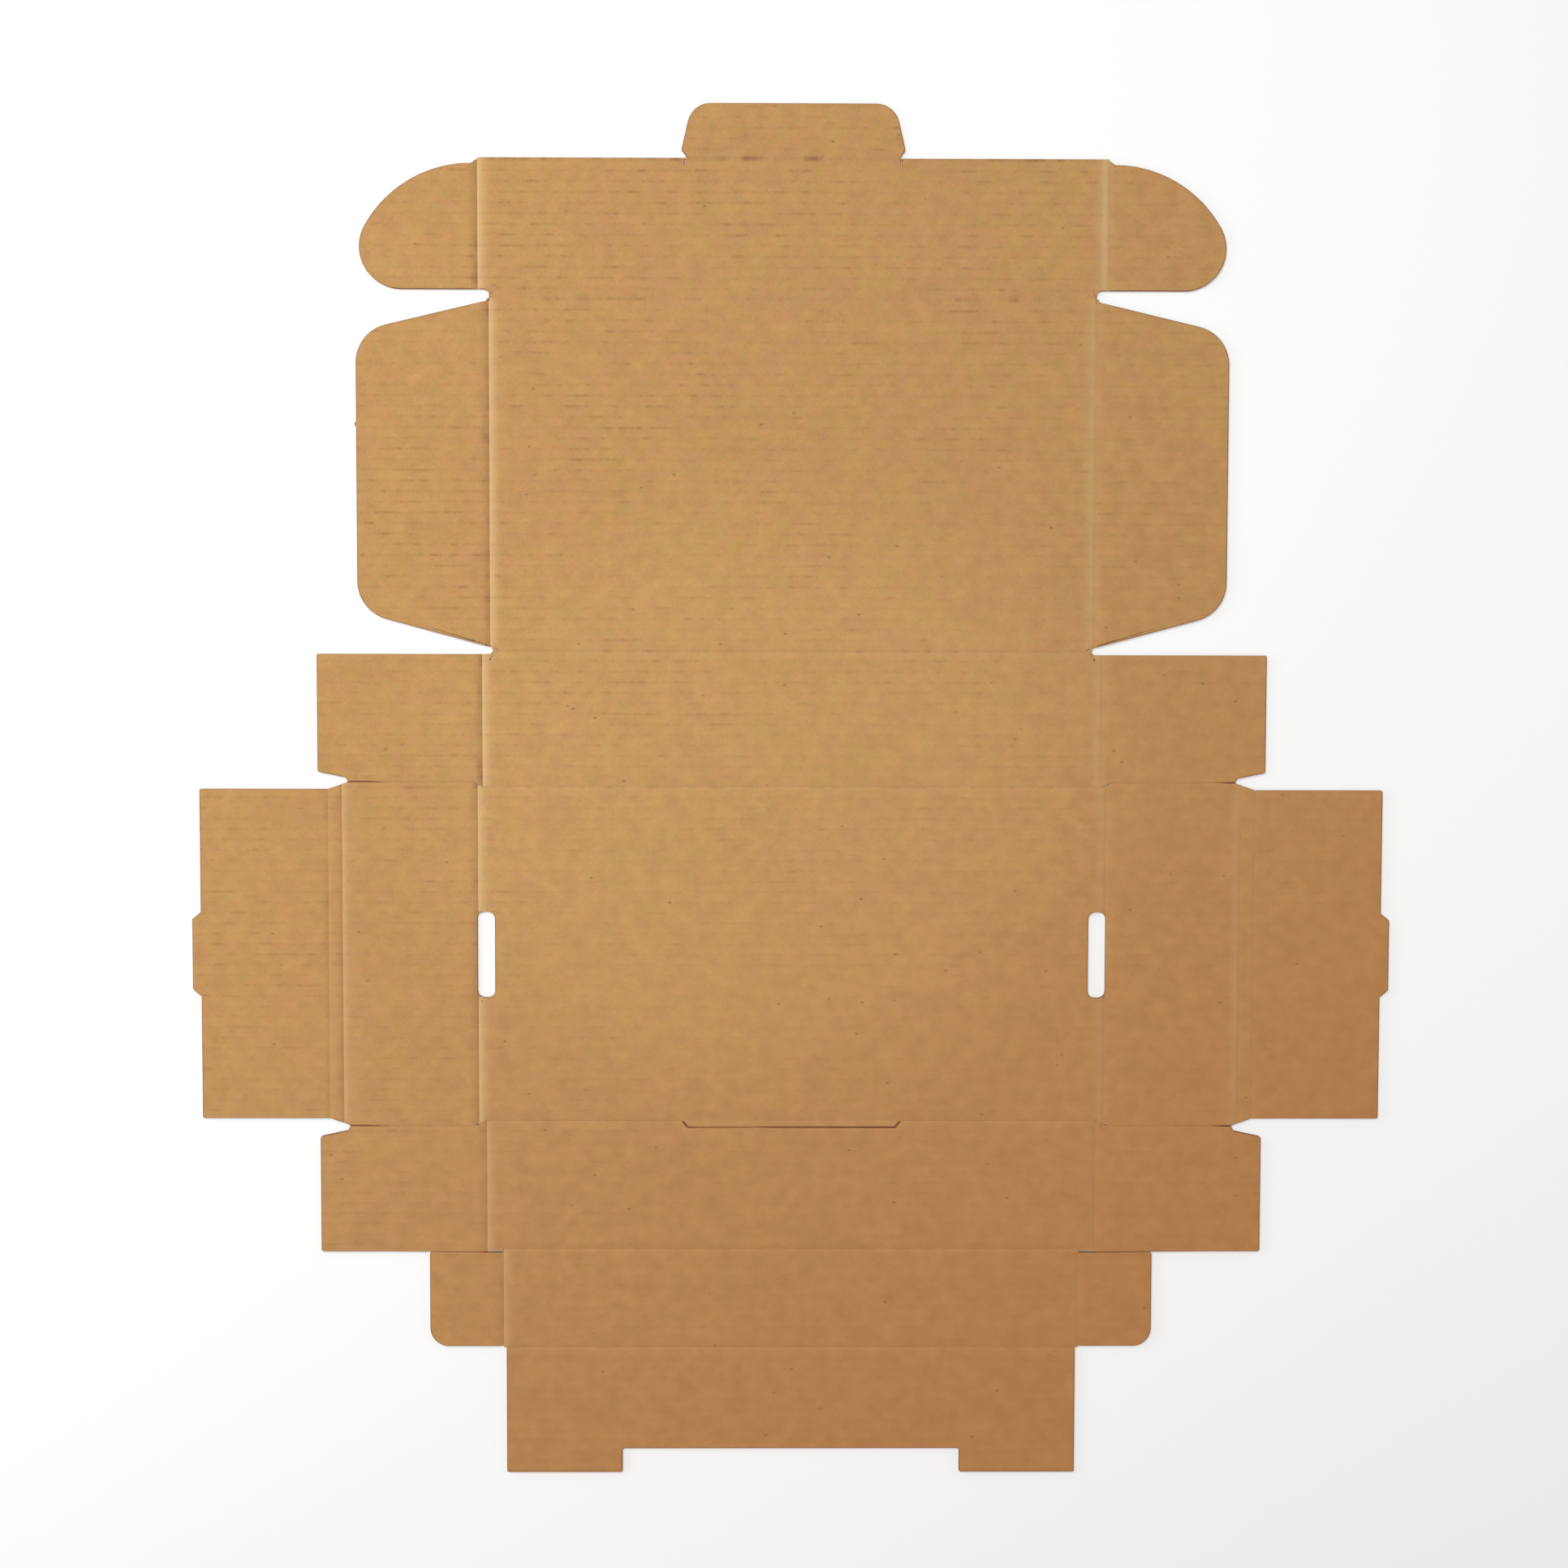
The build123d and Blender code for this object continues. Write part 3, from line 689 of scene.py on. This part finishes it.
def fold_strip(joint_name):
    # the outside liner where it goes round the outside of a fold, one strip across the crease
    joint = next(item for item in frame["joints"] if item["name"] == joint_name)
    crease = crease_of(joint)
    axis, line = crease["axis"], crease["line"]
    reach = strip_share * crease["reach"]
    strip = bmesh.new()
    for node in (joint["parent"], joint["child"]):
        half = blank_of(node)
        cut_all(half, axis, line + reach, facing=1, clear_outer=True)
        cut_all(half, axis, line - reach, facing=-1, clear_outer=True)
        add_sheet(strip, half)
    bmesh.ops.remove_doubles(strip, verts=strip.verts, dist=2 * same_place)
    for share in strip_stations:
        cut_all(strip, axis, line + share * reach)
        cut_all(strip, axis, line - share * reach)
    lay_sheet(strip, outside_face, outside_back, outside_slot, edge_slot)
    piece = show_board(joint_name + "_liner", strip)
    middle = sum(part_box(joint["child"]), Vector()) / 2
    side = 1 if middle[axis] > line else -1
    start, end = Vector(joint["pos_m"]), Vector(joint["pos_m"])
    start[axis] = line - side * strip_bend * reach
    end[axis] = line + side * strip_bend * reach
    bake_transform(piece, joint["parent"], joint["child"], start=start, end=end)


# Back wall, the panel beyond the floor, of the same board and cut with it. It folds up from
# the floor at one crease and carries the lid at another. Both creases follow the flutes.
board_panel("back_wall")
fold_strip("back_wall_fold")


# Lid, the largest panel, of the same board. It hangs on the back wall by a crease, and
# swings over to close the box.
board_panel("lid_panel")
fold_strip("lid_fold")


# Side flaps of the lid, with round corners, which slide in beside the inner walls. They
# are of the same board, and their creases run across the flutes, so they are pressed
# deepest. A sliver of torn paper stands out of the left flap's edge.
sliver_y = 0.1197
sliver_reach = 0.0009
sliver_stands = 0.0007
sliver_narrow = 0.6
for side in ("left", "right"):
    flap = board_panel(side + "_lid_flap")
    fold_strip(side + "_lid_flap_fold")
    if side == "left":
        flap_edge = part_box("left_lid_flap")[0].x
        for vert in flap.data.vertices:
            off = math.hypot(vert.co.y - sliver_y, sliver_narrow * (vert.co.x - flap_edge))
            if off < sliver_reach:
                vert.co.x -= sliver_stands * (1 - off / sliver_reach)


# Front flap of the lid, which goes down inside the front wall, and its two ears, which
# turn in before it and grip the corner flaps. All three are of the same board, cut with it.
board_panel("lid_front_flap")
fold_strip("lid_front_fold")
for side in ("left", "right"):
    board_panel(side + "_ear")
    fold_strip(side + "_ear_fold")


# Lock tab, a tongue of the same board on the lid's front flap, which goes into the slit at
# the floor's front crease. Its own crease is pressed lightly, and its paper has cracked there.
board_panel("lock_tab")
fold_strip("lock_tab_fold")


# Front wall, and the corner flaps on it and on the back wall, which turn in beside the side
# walls. All are of the same board, parted from the side walls by knife slits.
board_panel("front_wall")
fold_strip("front_wall_fold")
for side in ("left", "right"):
    for flap in ("_back_flap", "_front_flap"):
        board_panel(side + flap)
        fold_strip(side + flap + "_fold")


# Sides: an outer wall, a roll-over strip between two close creases, and an inner wall
# whose tab locks in the floor's slot. All are of the same board, in one run from the floor.
for side in ("left", "right"):
    for wall in ("_side_wall", "_roll_strip", "_inner_wall"):
        board_panel(side + wall)
    for crease in ("_side_wall_fold", "_roll_fold", "_inner_wall_fold"):
        fold_strip(side + crease)


# Shelf behind the front wall's upper edge, with a wing at each end and a leg with two feet,
# which stands on the floor. All are of the same board, past the front wall's last crease.
# They are the last panels, so the cut blanks that were kept for copies go after them.
board_panel("front_shelf")
fold_strip("shelf_fold")
for side in ("left", "right"):
    board_panel(side + "_shelf_wing")
    fold_strip(side + "_wing_fold")
board_panel("shelf_leg")
fold_strip("leg_fold")
for used_blank in cut_blanks.values():
    bpy.data.meshes.remove(used_blank)


# Table top: a plain pale floor under the blank, matt and smooth. To the camera and in
# reflections it looks white, and it keeps the blank's soft shadow.
floor_reach = 3.0
floor_white, floor_grey = (0.9, 0.9, 0.895, 1), (0.58, 0.58, 0.58, 1)
floor_glow = 0.38
floor_mesh = bpy.data.meshes.new("floor")
floor_shape = bmesh.new()
bmesh.ops.create_grid(floor_shape, x_segments=1, y_segments=1, size=floor_reach)
floor_shape.to_mesh(floor_mesh)
floor_shape.free()
floor = bpy.data.objects.new("floor", floor_mesh)
bpy.context.scene.collection.objects.link(floor)
floor_finish = bpy.data.materials.new("floor_white")
floor_finish.use_nodes = True
floor_tree = floor_finish.node_tree
floor_shader = floor_tree.nodes["Principled BSDF"]
rays = paper_node(floor_tree, "ShaderNodeLightPath").outputs
seen = reckon(floor_tree, "MAXIMUM", rays["Is Camera Ray"], rays["Is Glossy Ray"])
floor_colour = blend_colours(floor_tree, seen, floor_white, floor_grey)
floor_tree.links.new(floor_colour, floor_shader.inputs["Base Color"])
floor_shader.inputs["Emission Color"].default_value = (1, 1, 1, 1)
glow = reckon(floor_tree, "MULTIPLY", seen, floor_glow)
floor_tree.links.new(glow, floor_shader.inputs["Emission Strength"])
floor_shader.inputs["Roughness"].default_value = 0.9
floor_mesh.materials.append(floor_finish)


# Lamps: a soft box low at each side, a strong soft lamp above the lid's end and a weak warm
# one above the foot. The left one shows up the creases that run across the flutes.
def soft_box(name, place, aim, size, power, colour):
    lamp = bpy.data.lights.new(name, "AREA")
    lamp.shape = "RECTANGLE"
    lamp.size, lamp.size_y = size
    lamp.energy = power
    lamp.color = colour
    holder = bpy.data.objects.new(name, lamp)
    holder.location = place
    holder.rotation_mode = "QUATERNION"
    holder.rotation_quaternion = (Vector(aim) - Vector(place)).to_track_quat("-Z", "Y")
    bpy.context.scene.collection.objects.link(holder)


soft_box("lamp_left", place=(-0.55, 0.1, 0.26), aim=(-0.1, 0.05, 0),
         size=(0.9, 0.25), power=1.6, colour=(1, 0.97, 0.95))
soft_box("lamp_right", place=(0.55, 0.1, 0.26), aim=(0.1, 0.0, 0),
         size=(0.9, 0.25), power=0.6, colour=(1, 0.9, 0.8))
soft_box("lamp_over_lid", place=(-0.25, 0.35, 1.0), aim=(-0.1, 0.15, 0),
         size=(0.5, 0.5), power=9.0, colour=(0.95, 1, 1))
soft_box("lamp_over_foot", place=(0.0, -0.4, 1.0), aim=(0, -0.15, 0),
         size=(0.5, 0.5), power=1.9, colour=(1, 0.72, 0.6))

room = bpy.data.worlds.new("room")
room.use_nodes = True
background = room.node_tree.nodes["Background"]
background.inputs["Color"].default_value = (1, 1, 1, 1)
background.inputs["Strength"].default_value = 0.12
bpy.context.scene.world = room


# Camera: above the blank and almost square to it, with the lid at the top of the picture,
# at the angle from which the upright blank was photographed.
camera_tilt, camera_lean, camera_roll = -2.846, -0.417, 0.11
camera_data = bpy.data.cameras.new("camera")
camera_data.lens = 50.3
camera_data.sensor_width = 36.0
camera = bpy.data.objects.new("camera", camera_data)
camera.location = (-0.00784, 0.03968, 0.70788)
camera.rotation_euler = [math.radians(turn) for turn in (camera_tilt, camera_lean, camera_roll)]
bpy.context.scene.collection.objects.link(camera)
bpy.context.scene.camera = camera

bpy.context.scene.view_settings.view_transform = "Standard"
